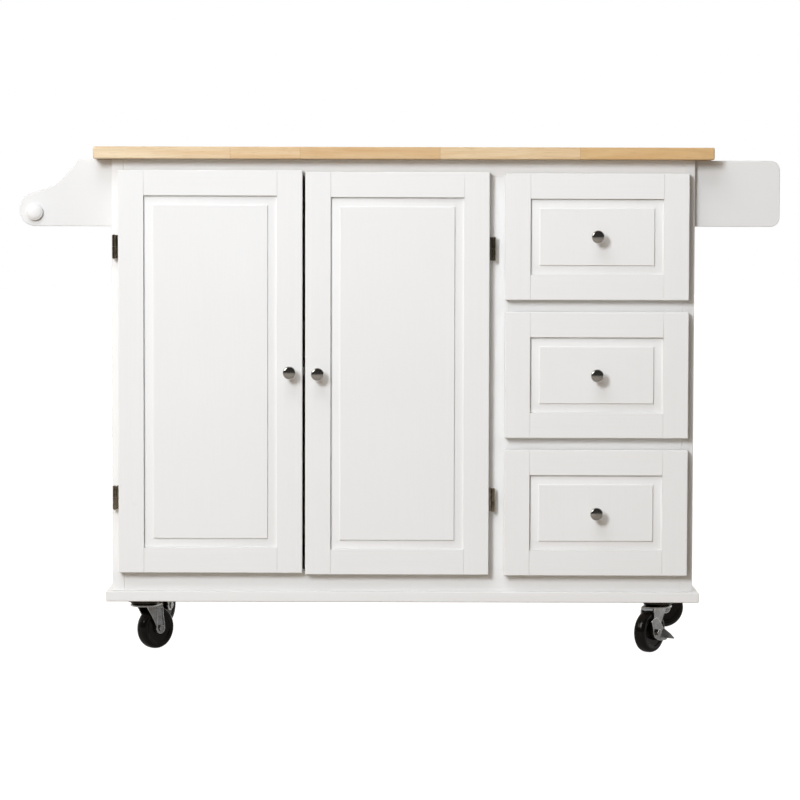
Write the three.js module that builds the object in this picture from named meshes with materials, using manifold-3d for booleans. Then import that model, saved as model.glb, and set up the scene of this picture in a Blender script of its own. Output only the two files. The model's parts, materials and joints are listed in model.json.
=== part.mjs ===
// Kitchen island cart: two doors, three drawers, towel rack, spice rack and four swivel casters.
// Lengths are in millimetres. +Z is up, the front faces -Y and +X is to the right.
// Pieces are drawn in the cabinet's own frame: x from its left side, y back from the front of
// the face frame, z from the floor. finish() then moves them all to the part's origin.
import * as THREE from 'three';
import { mergeVertices } from 'three/addons/utils/BufferGeometryUtils.js';
import Module from 'manifold-3d';

const wasm = await Module();
wasm.setup();

// ---------------------------------------------------------------- driving dimensions
const GAP = 0.3;
const CABINET = { left: -1.5, w: 1046, d: 444, bottom: 113.7, top: 892 };
const TOP = { w: 1110, d: 508, t: 22, edge: 2.4 };
const PLINTH = { reach: 11.5, proud: 10, bottom: 95, edge: 2 };
const SIDE_T = 20;
const BOARD_T = 16;
const RAIL_T = 19;
const TOP_RAIL_Z = 862.6;
const FLOOR_RAIL_Z = 153;
const STILE = { x0: 670, x1: 712 };

const FRONT = { back: -2.5, face: -22, frame: 45.5, bevel: 17, edge: 1.4 };
const DOOR = { w: 330.5, h: 724 };
const LEFT_DOOR = { x: 11.5, z: 148.5 };
const RIGHT_DOOR = { x: 347, z: 146 };
const DRAWER = { x: 705, w: 330, h: 227, pitch: 248, z: 145 };
const DRAWER_BOX = { x0: 725, x1: 1013, h: 168, back: 385, wall: 12, base: 6, lift: 22 };
const KNOB = { reach: 29, r: 11.8 };

const HINGE = { h: 42, r: 3.3, pin: 1.6, head: 2, out: 8, y: -13, leaf: 0.9, top: 137.5, bottom: 135 };

const TOWEL = { reach: 167, h: 120, t: 19, inset: 11, rod_x: -140.9, rod_z: 796.9, rod_r: 11 };
const SPICE = { reach: 153.5, h: 118.5, corner: 17 };

const CASTER = { y: 52, trail: 26, wheel_r: 38, wheel_w: 22.4, axle_r: 4, leg: 12.4, leg_t: 2.4 };
const REAR_Y = CABINET.d - CASTER.y;
const CASTERS = [
  { name: 'front_left', x: 52, y: CASTER.y, yaw: 46, brake: false },
  { name: 'front_right', x: CABINET.w - 58, y: CASTER.y, yaw: 232, brake: true },
  { name: 'rear_left', x: 49.5, y: REAR_Y, yaw: 70, brake: false },
  { name: 'rear_right', x: CABINET.w - 44, y: REAR_Y, yaw: 8, brake: true },
];

const ORIGIN_X = -(CABINET.left - TOWEL.reach + CABINET.w + SPICE.reach) / 2;
const OVERHANG_Y = (TOP.d - CABINET.d) / 2;
const ORIGIN_Y = -(CABINET.d + OVERHANG_Y + FRONT.face - KNOB.reach) / 2;

const LOOKS = {
  paint: { color: '#e9e8e3', roughness: 0.45, metalness: 0 },
  wood: { color: '#c9a066', roughness: 0.5, metalness: 0 },
  raw: { color: '#d9c7a4', roughness: 0.7, metalness: 0 },
  nickel: { color: '#b9b9b6', roughness: 0.25, metalness: 1 },
  zinc: { color: '#9fa3a3', roughness: 0.35, metalness: 1 },
  tyre: { color: '#17171a', roughness: 0.6, metalness: 0 },
};

// ---------------------------------------------------------------- solids from three.js shapes
function solid(geometry) {
  const bare = new THREE.BufferGeometry();
  const flat = geometry.index ? geometry.toNonIndexed() : geometry;
  bare.setAttribute('position', flat.getAttribute('position').clone());
  const merged = mergeVertices(bare, 1e-4);
  const index = merged.index.array;
  const kept = [];
  for (let i = 0; i < index.length; i += 3) {
    const [a, b, c] = [index[i], index[i + 1], index[i + 2]];
    if (a !== b && b !== c && c !== a) kept.push(a, b, c);
  }
  const mesh = new wasm.Mesh({
    numProp: 3,
    vertProperties: new Float32Array(merged.getAttribute('position').array),
    triVerts: new Uint32Array(kept),
  });
  return new wasm.Manifold(mesh);
}

function box(x0, x1, y0, y1, z0, z1) {
  const g = new THREE.BoxGeometry(x1 - x0, y1 - y0, z1 - z0);
  g.translate((x0 + x1) / 2, (y0 + y1) / 2, (z0 + z1) / 2);
  return solid(g);
}

function rectangle(w, h) {
  const s = new THREE.Shape();
  s.moveTo(0, 0);
  s.lineTo(w, 0);
  s.lineTo(w, h);
  s.lineTo(0, h);
  s.closePath();
  return s;
}

// An extrusion with softened edges whose outside stays the size of the shape.
function extruded(shape, depth, edge = 0, curveSegments = 8) {
  return new THREE.ExtrudeGeometry(shape, {
    depth: depth - 2 * edge,
    bevelEnabled: edge > 0,
    bevelThickness: edge,
    bevelSize: edge,
    bevelOffset: -edge,
    bevelSegments: 1,
    curveSegments,
  }).translate(0, 0, edge);
}

// A board lying flat: its outline in x and y, its thickness in z.
function flatBoard(x0, x1, y0, y1, z0, z1, edge) {
  const g = extruded(rectangle(x1 - x0, y1 - y0), z1 - z0, edge);
  g.translate(x0, y0, z0);
  return solid(g);
}

// A shape drawn in x and z, standing upright between two depths.
function upright(shape, y0, y1, edge = 0, curveSegments = 8) {
  const g = extruded(shape, y1 - y0, edge, curveSegments);
  g.rotateX(Math.PI / 2);
  g.translate(0, y1, 0);
  return solid(g);
}

function uprightBoard(x0, x1, y0, y1, z0, z1, edge) {
  const g = extruded(rectangle(x1 - x0, z1 - z0), y1 - y0, edge);
  g.rotateX(Math.PI / 2);
  g.translate(x0, y1, z0);
  return solid(g);
}

function lathe(profile, segments) {
  const points = profile.map(([r, h]) => new THREE.Vector2(r, h));
  return new THREE.LatheGeometry(points, segments);
}

// A turned piece whose axis runs along y, growing towards the front from depth y.
function turnedForward(profile, x, y, z, segments) {
  const g = lathe(profile, segments);
  g.rotateX(Math.PI);
  g.translate(x, y, z);
  return solid(g);
}

// A turned piece on a vertical axis.
function turnedUp(profile, x, y, z, segments) {
  const g = lathe(profile, segments);
  g.rotateX(Math.PI / 2);
  g.translate(x, y, z);
  return solid(g);
}

function cylinderUp(r, z0, z1, x, y, segments) {
  return turnedUp([[0, z0], [r, z0], [r, z1], [0, z1]], x, y, 0, segments);
}

// ---------------------------------------------------------------- naming and placing
const cart = new THREE.Group();
cart.name = 'kitchen_island_cart';

function finish(name, body, look) {
  const out = body.translate([ORIGIN_X, ORIGIN_Y, 0]).getMesh();
  const count = out.vertProperties.length / out.numProp;
  const positions = new Float32Array(count * 3);
  for (let i = 0; i < count; i += 1) {
    for (let k = 0; k < 3; k += 1) {
      positions[i * 3 + k] = out.vertProperties[i * out.numProp + k];
    }
  }
  const g = new THREE.BufferGeometry();
  g.setAttribute('position', new THREE.BufferAttribute(positions, 3));
  g.setIndex(new THREE.BufferAttribute(new Uint32Array(out.triVerts), 1));
  g.computeVertexNormals();
  const mesh = new THREE.Mesh(g, new THREE.MeshStandardMaterial(LOOKS[look]));
  mesh.name = name;
  cart.add(mesh);
}

// ---------------------------------------------------------------- worktop, carcass and face frame
function buildCarcass() {
  const w = CABINET.w;
  const d = CABINET.d;
  const side = (TOP.w - w) / 2;
  const z0 = CABINET.bottom + GAP;
  const z1 = CABINET.top - GAP;
  const x0 = SIDE_T + GAP;
  const x1 = w - SIDE_T - GAP;
  const behind = RAIL_T + GAP;
  finish(
    'worktop',
    flatBoard(-side, w + side, -OVERHANG_Y, d + OVERHANG_Y, CABINET.top, CABINET.top + TOP.t, TOP.edge),
    'wood',
  );
  finish('left_side_panel', uprightBoard(CABINET.left, SIDE_T, 0, d, z0, z1, 1), 'paint');
  finish('right_side_panel', uprightBoard(w - SIDE_T, w, 0, d, z0, z1, 1), 'paint');
  finish('back_panel', box(x0, x1, d - 6, d - 0.5, z0, z1), 'paint');
  const floorTop = FLOOR_RAIL_Z - GAP;
  finish('floor_panel', box(x0, x1, behind, d - 6 - GAP, floorTop - BOARD_T, floorTop), 'paint');
  const reach = PLINTH.reach;
  finish(
    'base_plinth',
    flatBoard(
      CABINET.left - reach, w + reach, -PLINTH.proud, d + PLINTH.proud,
      PLINTH.bottom, CABINET.bottom, PLINTH.edge,
    ),
    'paint',
  );
  const mid = (STILE.x0 + STILE.x1) / 2;
  finish(
    'divider_panel',
    box(mid - BOARD_T / 2, mid + BOARD_T / 2, behind, d - 6 - GAP, FLOOR_RAIL_Z, z1),
    'paint',
  );
  finish('face_top_rail', box(x0, x1, 0.2, RAIL_T, TOP_RAIL_Z, z1), 'paint');
  finish('face_bottom_rail', box(x0, x1, 0.2, RAIL_T, z0, FLOOR_RAIL_Z), 'paint');
  finish(
    'face_centre_stile',
    box(STILE.x0, STILE.x1, 0.2, RAIL_T, FLOOR_RAIL_Z + GAP, TOP_RAIL_Z - GAP),
    'paint',
  );
  const names = ['face_drawer_rail_lower', 'face_drawer_rail_upper'];
  names.forEach((name, i) => {
    const middle = DRAWER.z + DRAWER.h + (DRAWER.pitch - DRAWER.h) / 2 + i * DRAWER.pitch;
    const rail = box(STILE.x1 + GAP, x1, 0.2, RAIL_T, middle - 19, middle + 19);
    finish(name, rail, 'paint');
  });
  const divider = mid - BOARD_T / 2;
  finish(
    'adjustable_shelf',
    flatBoard(x0 + 1, divider - 1.3, behind + 6, d - 6 - 4, 502, 502 + BOARD_T, 0.8),
    'paint',
  );
}

// ---------------------------------------------------------------- doors
// A frame of stiles and rails, with a slot all round its inside for the panel.
function doorFrame(x, z) {
  const f = FRONT.frame;
  const outer = uprightBoard(x, x + DOOR.w, FRONT.face, FRONT.back, z, z + DOOR.h, FRONT.edge);
  const hole = box(
    x + f, x + DOOR.w - f, FRONT.face - 1, FRONT.back + 1, z + f, z + DOOR.h - f,
  );
  const slot = box(
    x + f - 8, x + DOOR.w - f + 8, FRONT.face + 6.6, FRONT.face + 12.6, z + f - 8, z + DOOR.h - f + 8,
  );
  return outer.subtract(hole).subtract(slot);
}

// The bevelled front of a raised panel: a four-sided frustum with a small step round its field.
function raisedField(x0, x1, z0, z1, low, high, field) {
  const b = FRONT.bevel;
  const corners = (inset, y) => [
    [x0 + inset, y, z0 + inset],
    [x1 - inset, y, z0 + inset],
    [x1 - inset, y, z1 - inset],
    [x0 + inset, y, z1 - inset],
  ];
  const rings = [corners(0, low + 3), corners(0, low), corners(b, high), corners(b, field)];
  const positions = [];
  const quad = (a, c, d, e) => positions.push(...a, ...c, ...d, ...a, ...d, ...e);
  for (let r = 0; r < 3; r += 1) {
    for (let i = 0; i < 4; i += 1) {
      const j = (i + 1) % 4;
      quad(rings[r][i], rings[r][j], rings[r + 1][j], rings[r + 1][i]);
    }
  }
  quad(rings[3][0], rings[3][1], rings[3][2], rings[3][3]);
  quad(rings[0][3], rings[0][2], rings[0][1], rings[0][0]);
  const g = new THREE.BufferGeometry();
  g.setAttribute('position', new THREE.BufferAttribute(new Float32Array(positions), 3));
  return solid(g);
}

function doorPanel(x, z) {
  const f = FRONT.frame;
  const c = GAP;
  const tongue = box(
    x + f - 7, x + DOOR.w - f + 7, FRONT.face + 6.6 + c, FRONT.face + 12.6 - c, z + f - 7, z + DOOR.h - f + 7,
  );
  const front = raisedField(
    x + f + c, x + DOOR.w - f - c, z + f + c, z + DOOR.h - f - c,
    FRONT.face + 6.6, FRONT.face + 3.6, FRONT.face + 1,
  );
  return tongue.add(front);
}

const KNOB_PROFILE = [
  [0, 0], [7, 0], [7, 1.6], [4.5, 3.2], [4.5, 15], [9.4, 20],
  [KNOB.r - 0.4, 22], [KNOB.r, 24], [KNOB.r - 0.9, 26.8], [9, 28.1], [0, KNOB.reach],
];

function knob(x, y, z) {
  return turnedForward(KNOB_PROFILE.map(([r, h]) => [r, h * (1 - GAP / KNOB.reach)]), x, y - GAP, z, 20);
}

// Half of a hinge that wraps round the door's edge: a plate behind the door, a web that comes
// forward beside it, a strap and one knuckle. side is +1 when the door lies right of the pin.
function hingeLeaf(px, pz, side, onDoor) {
  const half = HINGE.h / 2;
  const t = HINGE.leaf;
  const back = (onDoor ? -2.3 : -1.1) + t;
  const web = onDoor ? 6.4 : 3.7;
  const reach = onDoor ? 27 : 16;
  const front = HINGE.y + HINGE.r - t;
  const [low, high] = onDoor ? [0.15, half] : [-half, -0.15];
  const part = (a, b, y0, y1, z0, z1) => {
    const [x0, x1] = side > 0 ? [px + a, px + b] : [px - b, px - a];
    return box(x0, x1, y0, y1, pz + z0, pz + z1);
  };
  const leaf = part(web, reach, back - t, back, -half, half)
    .add(part(web, web + t, front + (onDoor ? 0 : 1.5), back, -half, half))
    .add(part(web, web + t, front, back, low, high))
    .add(part(0, web + t, front, front + t, low, high))
    .add(cylinderUp(HINGE.r, pz + low, pz + high, px, HINGE.y, 16));
  const bore = cylinderUp(HINGE.pin + GAP, pz - half - 3, pz + half + 3, px, HINGE.y, 12);
  if (onDoor) return leaf.subtract(bore);
  const top = half + HINGE.head;
  const pin = turnedUp(
    [[0, -top], [2.2, 0.6 - top], [HINGE.pin, 1 - half],
      [HINGE.pin, half + GAP], [2.2, half + GAP], [1.8, top - 0.5], [0, top]],
    px, HINGE.y, pz, 12,
  );
  return leaf.add(pin);
}

function buildDoor(side, at, hingeSide, knobX) {
  finish(`${side}_door_frame`, doorFrame(at.x, at.z), 'paint');
  finish(`${side}_door_panel`, doorPanel(at.x, at.z), 'paint');
  finish(`${side}_door_knob`, knob(knobX, FRONT.face, at.z + DOOR.h / 2), 'nickel');
  const pin = hingeSide > 0 ? at.x - HINGE.out : at.x + DOOR.w + HINGE.out;
  const levels = { upper: at.z + DOOR.h - HINGE.top, lower: at.z + HINGE.bottom };
  for (const [level, z] of Object.entries(levels)) {
    finish(`${side}_${level}_hinge_frame_leaf`, hingeLeaf(pin, z, hingeSide, false), 'nickel');
    finish(`${side}_${level}_hinge_door_leaf`, hingeLeaf(pin, z, hingeSide, true), 'nickel');
  }
}

// ---------------------------------------------------------------- drawers
function drawerFront(z) {
  const f = FRONT.frame;
  const x0 = DRAWER.x;
  const x1 = x0 + DRAWER.w;
  const board = uprightBoard(x0, x1, FRONT.face, FRONT.back, z, z + DRAWER.h, FRONT.edge);
  const pocket = box(x0 + f, x1 - f, FRONT.face - 1, FRONT.face + 6.6, z + f, z + DRAWER.h - f);
  const field = raisedField(
    x0 + f - 0.1, x1 - f + 0.1, z + f - 0.1, z + DRAWER.h - f + 0.1,
    FRONT.face + 6.4, FRONT.face + 3.6, FRONT.face + 1,
  );
  return board.subtract(pocket).add(field);
}

function drawerBox(z) {
  const b = DRAWER_BOX;
  const y0 = FRONT.back + GAP;
  const low = z + b.lift;
  const shell = box(b.x0, b.x1, y0, b.back, low, low + b.h);
  const inside = box(
    b.x0 + b.wall, b.x1 - b.wall, y0 + b.wall, b.back - b.wall, low + b.base + 8, low + b.h + 1,
  );
  const under = box(b.x0 + b.wall, b.x1 - b.wall, y0 + b.wall, b.back - b.wall, low - 1, low + 8);
  return shell.subtract(inside).subtract(under);
}

function buildDrawers() {
  ['lower', 'middle', 'upper'].forEach((level, i) => {
    const z = DRAWER.z + i * DRAWER.pitch;
    const middle = DRAWER.x + DRAWER.w / 2;
    finish(`${level}_drawer_front`, drawerFront(z), 'paint');
    finish(`${level}_drawer_box`, drawerBox(z), 'raw');
    finish(`${level}_drawer_knob`, knob(middle, FRONT.face + 1, z + DRAWER.h / 2), 'nickel');
  });
}

// ---------------------------------------------------------------- towel rack
function towelBracketShape() {
  const x1 = CABINET.left - GAP;
  const tip = CABINET.left - TOWEL.reach;
  const z1 = CABINET.top - GAP;
  const z0 = z1 - TOWEL.h;
  const s = new THREE.Shape();
  s.moveTo(x1, z0);
  s.lineTo(x1, z1);
  s.lineTo(tip + 107.2, z1);
  s.bezierCurveTo(tip + 87, z1 - 24, tip + 75, z1 - 48, tip + 32, z1 - 57);
  s.bezierCurveTo(tip + 18, z1 - 60, tip, z1 - 68, tip, z1 - 90);
  s.bezierCurveTo(tip, z1 - 107.5, tip + 13, z0, tip + 28.5, z0);
  s.closePath();
  return s;
}

function buildTowelRack() {
  const r = TOWEL.rod_r;
  const front = TOWEL.inset;
  const back = CABINET.d - TOWEL.inset;
  const along = (radius, y0, y1) => turnedForward(
    [[0, 0], [radius, 0], [radius, y1 - y0], [0, y1 - y0]], TOWEL.rod_x, y1, TOWEL.rod_z, 20,
  );
  const bore = along(r + GAP, front - 5, back + 5);
  const faces = { front: [front, front + TOWEL.t], rear: [back - TOWEL.t, back] };
  for (const [name, [y0, y1]] of Object.entries(faces)) {
    const board = upright(towelBracketShape(), y0, y1, 1, 6);
    finish(`towel_bracket_${name}`, board.subtract(bore), 'paint');
  }
  finish('towel_rod', along(r, front + GAP, back - GAP), 'paint');
  const dome = [[0, 0], [15, 0], [15, 6], [13.4, 7.6], [8.6, 9.9], [0, 10.7]];
  finish('towel_cap_front', turnedForward(dome, TOWEL.rod_x, front - GAP, TOWEL.rod_z, 20), 'paint');
  const rear = dome.map(([radius, h]) => [radius, -h]).reverse();
  finish('towel_cap_rear', turnedForward(rear, TOWEL.rod_x, back + GAP, TOWEL.rod_z, 20), 'paint');
}

// ---------------------------------------------------------------- spice rack
function spiceEndShape() {
  const x0 = CABINET.w + GAP;
  const x1 = CABINET.w + SPICE.reach;
  const z1 = CABINET.top - GAP;
  const z0 = z1 - SPICE.h;
  const r = SPICE.corner;
  const s = new THREE.Shape();
  s.moveTo(x0, z0);
  s.lineTo(x1 - r, z0);
  s.absarc(x1 - r, z0 + r, r, -Math.PI / 2, 0, false);
  s.lineTo(x1, z1 - r);
  s.absarc(x1 - r, z1 - r, r, 0, Math.PI / 2, false);
  s.lineTo(x0, z1);
  s.closePath();
  return s;
}

function buildSpiceRack() {
  const front = TOWEL.inset;
  const back = CABINET.d - TOWEL.inset;
  finish('spice_end_front', upright(spiceEndShape(), front, front + TOWEL.t, 1, 4), 'paint');
  finish('spice_end_rear', upright(spiceEndShape(), back - TOWEL.t, back, 1, 4), 'paint');
  const y0 = front + TOWEL.t + GAP;
  const y1 = back - TOWEL.t - GAP;
  const x0 = CABINET.w + GAP;
  const x1 = CABINET.w + SPICE.reach;
  const z0 = CABINET.top - GAP - SPICE.h;
  finish('spice_shelf', flatBoard(x0, x1 - 8, y0, y1, z0 + 6, z0 + 18, 0.8), 'paint');
  finish('spice_rail', uprightBoard(x1 - 20, x1 - 8, y0, y1, z0 + 42, z0 + 74, 0.8), 'paint');
}

// ---------------------------------------------------------------- casters
// Drawn with the swivel axis at 0,0 and the wheel trailing along +x, then turned by yaw.
function forkLeg() {
  const t = CASTER.trail;
  const s = new THREE.Shape();
  s.moveTo(-8, 81);
  s.lineTo(-2, 72);
  s.lineTo(6, 59);
  s.lineTo(t - 10, 42);
  s.absarc(t, CASTER.wheel_r, 10.5, Math.PI * 0.9, Math.PI * 2.05, false);
  s.lineTo(t + 8.5, 52);
  s.lineTo(t + 6.8, 62);
  s.lineTo(t + 5.8, 72);
  s.lineTo(t + 5.5, 81);
  s.closePath();
  return s;
}

function crownShape() {
  const s = new THREE.Shape();
  const end = CASTER.trail + 7;
  const half = CASTER.leg + CASTER.leg_t;
  s.absarc(0, 0, 26, Math.PI * 0.3, Math.PI * 1.7, false);
  s.lineTo(end - 6, -half);
  s.quadraticCurveTo(end, -half, end, 5 - half);
  s.lineTo(end, half - 5);
  s.quadraticCurveTo(end, half, end - 6, half);
  s.closePath();
  return s;
}

function axlePin(y0, y1, r, segments) {
  const g = lathe([[0, y0], [r, y0], [r, y1], [0, y1]], segments);
  g.translate(CASTER.trail, 0, CASTER.wheel_r);
  return solid(g);
}

function casterFork(brake) {
  const g = new THREE.ExtrudeGeometry(crownShape(), { depth: 3.2, bevelEnabled: false, curveSegments: 8 });
  g.translate(0, 0, 80);
  let fork = solid(g).subtract(cylinderUp(6.4, 70, 90, 0, 0, 16));
  const { leg, leg_t: t, axle_r: r } = CASTER;
  for (const y of [-leg - t, leg]) fork = fork.add(upright(forkLeg(), y, y + t, 0, 6));
  const face = leg + t;
  const nut = brake ? face + 3.2 : face - 0.4;
  const end = nut + 4.6;
  fork = fork.add(axlePin(-face - 3.7, end, r, 12));
  fork = fork.add(axlePin(-face - 4.2, -face + 0.4, 6.4, 6));
  return fork.add(axlePin(nut, end + 0.5, 6.4, 6));
}

function casterPlate() {
  const w = 32;
  const s = new THREE.Shape();
  const c = 6;
  s.absarc(w - c, w - c, c, 0, Math.PI / 2, false);
  s.absarc(c - w, w - c, c, Math.PI / 2, Math.PI, false);
  s.absarc(c - w, c - w, c, Math.PI, Math.PI * 1.5, false);
  s.absarc(w - c, c - w, c, Math.PI * 1.5, Math.PI * 2, false);
  const g = new THREE.ExtrudeGeometry(s, { depth: 3, bevelEnabled: false, curveSegments: 4 });
  g.translate(0, 0, PLINTH.bottom - GAP - 3);
  const race = [[0, 83.5], [20, 83.5], [26, 86], [26, 92.5], [0, 92.5]];
  const rivet = [[0, 77.6], [9, 77.6], [9, 79.7], [6, 79.7], [6, 84], [0, 84]];
  return solid(g).add(turnedUp(race, 0, 0, 0, 24)).add(turnedUp(rivet, 0, 0, 0, 16));
}

function casterWheel() {
  const r = CASTER.wheel_r;
  const w = CASTER.wheel_w / 2;
  const bore = CASTER.axle_r + GAP;
  const profile = [
    [bore, -w - 0.7], [9, -w - 0.7], [10, -w + 2], [26, -w + 2], [28, -w], [33, -w], [r, -w + 5],
    [r, w - 5], [33, w], [28, w], [26, w - 2], [10, w - 2], [9, w + 0.7], [bore, w + 0.7],
    [bore, -w - 0.7],
  ];
  const g = lathe(profile, 28);
  g.translate(CASTER.trail, 0, r);
  return solid(g);
}

function brakeLever() {
  const outline = [
    [18.5, 21], [12, 25], [4, 27.5], [-4, 24], [-17, 10], [-28, -4], [-33, -13], [-31, -17],
    [-14, -17], [-4, -15.5], [8, -10], [12, -2], [13.5, 8],
  ];
  const t = CASTER.trail;
  const up = CASTER.wheel_r;
  const s = new THREE.Shape();
  outline.forEach(([x, z], i) => {
    const draw = i === 0 ? 'moveTo' : 'lineTo';
    s[draw](t + x, up + z);
  });
  s.closePath();
  const y0 = CASTER.leg + CASTER.leg_t + 0.3;
  const y1 = y0 + 2.5;
  const plate = upright(s, y0, y1, 0, 1);
  const strip = new THREE.Shape();
  strip.moveTo(t - 20, up + 6);
  strip.lineTo(t - 28, up - 4);
  strip.lineTo(t - 33, up - 13);
  strip.lineTo(t - 30.8, up - 14.2);
  strip.lineTo(t - 26, up - 5.4);
  strip.lineTo(t - 18.2, up + 4.4);
  strip.closePath();
  const slope = [-0.806, -0.592, 0];
  const cut = slope[0] * (t - 21) + slope[1] * y1;
  const foot = upright(strip, y0, y0 + 18, 0, 1).trimByPlane(slope, cut);
  const bore = axlePin(8, 30, CASTER.axle_r + GAP, 12);
  return plate.add(foot).subtract(bore);
}

function buildCasters() {
  for (const c of CASTERS) {
    const put = (body) => body.rotate([0, 0, c.yaw]).translate([c.x, c.y, 0]);
    finish(`${c.name}_caster_plate`, casterPlate().translate([c.x, c.y, 0]), 'zinc');
    finish(`${c.name}_caster_fork`, put(casterFork(c.brake)), 'zinc');
    finish(`${c.name}_caster_wheel`, put(casterWheel()), 'tyre');
    if (c.brake) finish(`${c.name}_brake_lever`, put(brakeLever()), 'zinc');
  }
}

buildCarcass();
buildDoor('left', LEFT_DOOR, 1, LEFT_DOOR.x + DOOR.w - FRONT.frame / 2);
buildDoor('right', RIGHT_DOOR, -1, RIGHT_DOOR.x + FRONT.frame / 2);
buildDrawers();
buildTowelRack();
buildSpiceRack();
buildCasters();

export default cart;
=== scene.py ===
"""Kitchen island cart: the visual model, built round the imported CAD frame.

Lengths in metres in the row frame: +Z up, the front faces -Y, +X to the right.
"""

import json
import math
import random

import bmesh
import bpy
from mathutils import Matrix, Vector
from mathutils.geometry import tessellate_polygon

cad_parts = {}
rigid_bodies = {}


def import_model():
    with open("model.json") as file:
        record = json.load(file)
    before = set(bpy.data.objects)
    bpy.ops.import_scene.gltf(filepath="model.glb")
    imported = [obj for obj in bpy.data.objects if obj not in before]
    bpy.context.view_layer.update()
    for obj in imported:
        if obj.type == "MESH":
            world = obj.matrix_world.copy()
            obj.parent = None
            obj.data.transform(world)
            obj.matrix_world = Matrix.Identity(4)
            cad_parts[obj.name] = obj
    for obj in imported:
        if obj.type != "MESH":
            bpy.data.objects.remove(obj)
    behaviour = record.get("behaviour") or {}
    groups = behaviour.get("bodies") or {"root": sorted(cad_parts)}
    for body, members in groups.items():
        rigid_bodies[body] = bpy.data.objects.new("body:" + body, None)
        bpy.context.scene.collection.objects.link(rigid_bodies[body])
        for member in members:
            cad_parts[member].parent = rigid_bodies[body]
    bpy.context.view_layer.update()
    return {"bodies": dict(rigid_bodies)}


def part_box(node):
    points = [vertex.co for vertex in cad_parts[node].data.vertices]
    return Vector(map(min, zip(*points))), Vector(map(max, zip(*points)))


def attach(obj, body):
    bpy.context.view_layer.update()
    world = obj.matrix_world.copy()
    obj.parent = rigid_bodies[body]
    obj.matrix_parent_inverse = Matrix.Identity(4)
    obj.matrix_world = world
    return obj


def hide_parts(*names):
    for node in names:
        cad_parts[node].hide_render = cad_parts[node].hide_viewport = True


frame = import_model()

MM = 0.001
TAU = 2 * math.pi
TINY = 1e-6
X, Y, Z = 0, 1, 2


# ------ node materials
class Shader:
    """A material under construction: a principled shader and short calls that add nodes."""

    def __init__(self, name, **constants):
        self.material = bpy.data.materials.new(name)
        self.material.use_nodes = True
        self.tree = self.material.node_tree
        self.tree.nodes.clear()
        out = self.tree.nodes.new("ShaderNodeOutputMaterial")
        self.bsdf = self.tree.nodes.new("ShaderNodeBsdfPrincipled")
        self.tree.links.new(self.bsdf.outputs[0], out.inputs[0])
        for socket, value in constants.items():
            self.bsdf.inputs[socket.replace("_", " ")].default_value = value
        self.coords = self.add("TexCoord").outputs["Object"]

    def add(self, kind, inputs=None, **settings):
        node = self.tree.nodes.new("ShaderNode" + kind)
        for key, value in settings.items():
            setattr(node, key, value)
        for key, value in (inputs or {}).items():
            self.feed(node.inputs[key], value)
        return node

    def feed(self, socket, value):
        if isinstance(value, bpy.types.NodeSocket):
            self.tree.links.new(value, socket)
        else:
            socket.default_value = value

    def stretched(self, scale):
        return self.add("Mapping", {"Vector": self.coords, "Scale": scale}).outputs[0]

    def noise(self, scale, detail=2.0, vector=None):
        inputs = {"Scale": scale, "Detail": detail}
        inputs["Vector"] = vector if vector is not None else self.coords
        return self.add("TexNoise", inputs).outputs["Fac"]

    def ramp(self, value, low, high, to_low=0.0, to_high=1.0):
        inputs = {0: value, 1: low, 2: high, 3: to_low, 4: to_high}
        return self.add("MapRange", inputs, clamp=True).outputs[0]

    def math(self, operation, a, b=0.0):
        return self.add("Math", {0: a, 1: b}, operation=operation).outputs[0]

    def times(self, a, b):
        return self.math("MULTIPLY", a, b)

    def mix(self, factor, a, b, blend="MIX"):
        node = self.add("Mix", data_type="RGBA", blend_type=blend)
        for socket, value in ((0, factor), (6, a), (7, b)):
            if socket and isinstance(value, tuple):
                value = (*value, 1.0)
            self.feed(node.inputs[socket], value)
        return node.outputs[2]

    def attribute(self, name, output="Fac"):
        return self.add("Attribute", attribute_name=name).outputs[output]

    def bump(self, height, distance, strength=1.0, normal=None):
        inputs = {"Height": height, "Distance": distance, "Strength": strength}
        if normal is not None:
            inputs["Normal"] = normal
        return self.add("Bump", inputs).outputs[0]

    def finish(self, colour, roughness, normal):
        self.feed(self.bsdf.inputs["Base Color"], colour)
        self.feed(self.bsdf.inputs["Roughness"], roughness)
        self.feed(self.bsdf.inputs["Normal"], normal)
        return self.material


def along(axis, across, lengthways):
    """A mapping scale that stretches a pattern along one axis."""
    return tuple(lengthways if i == axis else across for i in range(3))


def paint_material(axis, name="white_paint", shade=1.0):
    """White satin paint sprayed on wood whose grain runs along one axis."""
    s = Shader(f"{name}_" + "xyz"[axis], IOR=1.5, Coat_Weight=0.12, Coat_Roughness=0.22)
    grain = s.noise(1.0, 3.0, s.stretched(along(axis, 420.0, 9.0)))
    cloud = s.noise(2.6, 2.0)
    peel = s.noise(700.0, 1.0)
    speck = s.ramp(s.noise(60.0, 2.0), 0.70, 0.80)
    low, high = ((shade * r, shade * g, shade * b) for r, g, b in
                 ((0.812, 0.808, 0.792), (0.830, 0.827, 0.814)))
    tint = s.mix(s.ramp(cloud, 0.3, 0.7), low, high)
    tint = s.mix(s.ramp(grain, 0.35, 0.75, 0.0, 0.30), tint, (0.785, 0.778, 0.755))
    tint = s.mix(s.times(speck, 0.25), tint, (0.75, 0.735, 0.70))
    rub = s.ramp(s.noise(34.0, 3.0), 0.52, 0.72)
    worn = s.times(s.times(rub, s.attribute("edge")), 0.45)
    tint = s.mix(worn, tint, (0.70, 0.66, 0.58))
    roughness = s.ramp(s.noise(22.0, 3.0), 0.3, 0.7, 0.36, 0.46)
    normal = s.bump(grain, 0.00006, 0.6)
    normal = s.bump(peel, 0.00002, 0.5, normal)
    return s.finish(tint, roughness, normal)


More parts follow.
